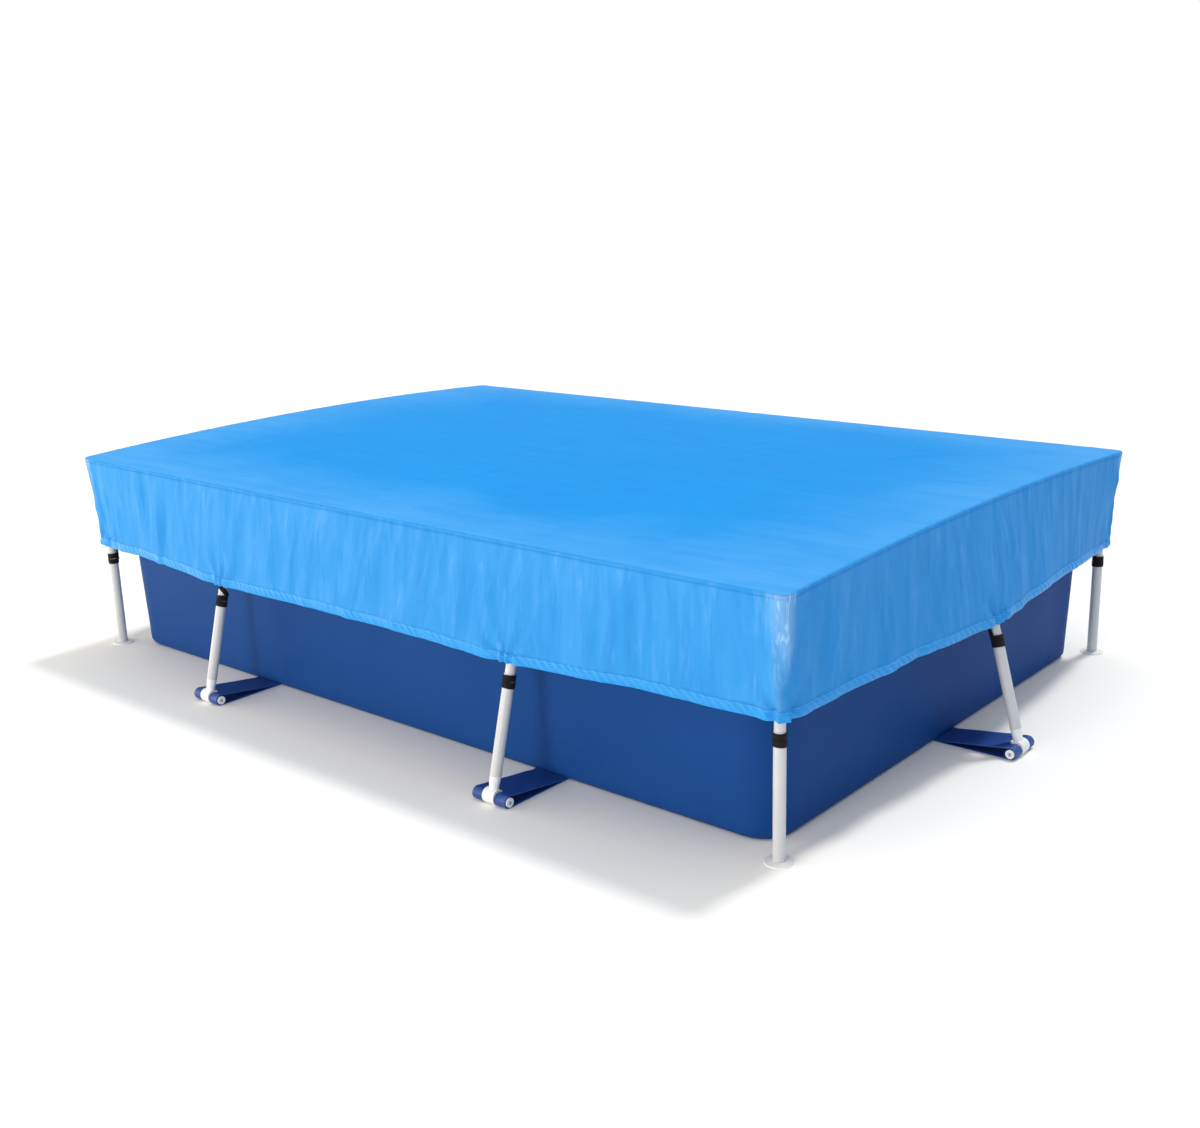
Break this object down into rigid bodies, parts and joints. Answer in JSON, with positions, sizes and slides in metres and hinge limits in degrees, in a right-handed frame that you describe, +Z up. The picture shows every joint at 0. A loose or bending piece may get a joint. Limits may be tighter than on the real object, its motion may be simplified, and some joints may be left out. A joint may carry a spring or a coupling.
{
  "type": "rectangular frame pool with fitted cover",
  "caption": "Rectangular above-ground frame pool with a welded liner in a white steel frame on straight and leaning legs, under a fitted rain cover tied round the legs.",
  "frame": {"origin": "centre of the footprint, on the ground", "axes": "+Z up; +X along the long side, towards the near corner of the picture; -Y out of the long side that the picture shows"},
  "size_m": [3.3678, 2.3918, 0.7448],
  "materials": {
    "powder_coated_steel": "satin",
    "white_plastic": "satin",
    "liner_pvc": "satin",
    "strap_pvc": "satin",
    "cover_sheet": "satin",
    "black_webbing": "matte",
    "valve_plastic": "matte"
  },
  "bodies": {
    "root": {"back_rail_left": "powder_coated_steel", "back_rail_middle": "powder_coated_steel", "back_rail_right": "powder_coated_steel", "corner_feet": "white_plastic", "corner_joints_back": "powder_coated_steel", "corner_joints_front": "powder_coated_steel", "corner_legs_back": "powder_coated_steel", "corner_legs_front": "powder_coated_steel", "corner_ties": "black_webbing", "drain_valve": "valve_plastic", "front_rail_left": "powder_coated_steel", "front_rail_middle": "powder_coated_steel", "front_rail_right": "powder_coated_steel", "ground_straps_back": "strap_pvc", "ground_straps_ends": "strap_pvc", "ground_straps_front": "strap_pvc", "left_rail_far": "powder_coated_steel", "left_rail_near": "powder_coated_steel", "leg_shoes_back": "white_plastic", "leg_shoes_ends": "white_plastic", "leg_shoes_front": "white_plastic", "liner_floor": "liner_pvc", "liner_wall": "liner_pvc", "rail_sleeves": "liner_pvc", "right_rail_far": "powder_coated_steel", "right_rail_near": "powder_coated_steel", "side_legs_back": "powder_coated_steel", "side_legs_ends": "powder_coated_steel", "side_legs_front": "powder_coated_steel", "side_ties": "black_webbing", "tee_joints_back": "powder_coated_steel", "tee_joints_ends": "powder_coated_steel", "tee_joints_front": "powder_coated_steel"},
    "cover": {"cover_hem": "cover_sheet", "cover_skirt_back": "cover_sheet", "cover_skirt_front": "cover_sheet", "cover_skirt_left": "cover_sheet", "cover_skirt_right": "cover_sheet", "cover_top": "cover_sheet"},
    "pin_back_left": {"strap_pin_back_left": "white_plastic"},
    "pin_back_right": {"strap_pin_back_right": "white_plastic"},
    "pin_front_left": {"strap_pin_front_left": "white_plastic"},
    "pin_front_right": {"strap_pin_front_right": "white_plastic"},
    "pin_left": {"strap_pin_left": "white_plastic"},
    "pin_right": {"strap_pin_right": "white_plastic"},
    "cap": {"drain_cap": "valve_plastic"}
  },
  "joints": [
    {"name": "cover_lift", "type": "slide", "parent": "root", "child": "cover", "axis": [0, 0, 1], "range_m": [0, 0.6]},
    {"name": "pin_back_left_pull", "type": "slide", "parent": "root", "child": "pin_back_left", "axis": [-1, 0, 0], "range_m": [0, 0.14]},
    {"name": "pin_back_right_pull", "type": "slide", "parent": "root", "child": "pin_back_right", "axis": [-1, 0, 0], "range_m": [0, 0.14]},
    {"name": "pin_front_left_pull", "type": "slide", "parent": "root", "child": "pin_front_left", "axis": [1, 0, 0], "range_m": [0, 0.14]},
    {"name": "pin_front_right_pull", "type": "slide", "parent": "root", "child": "pin_front_right", "axis": [1, 0, 0], "range_m": [0, 0.14]},
    {"name": "pin_left_pull", "type": "slide", "parent": "root", "child": "pin_left", "axis": [0, 1, 0], "range_m": [0, 0.14]},
    {"name": "pin_right_pull", "type": "slide", "parent": "root", "child": "pin_right", "axis": [0, -1, 0], "range_m": [0, 0.14]},
    {"name": "drain_cap_pull", "type": "slide", "parent": "root", "child": "cap", "axis": [0, 1, 0], "range_m": [0, 0.06]}
  ]
}
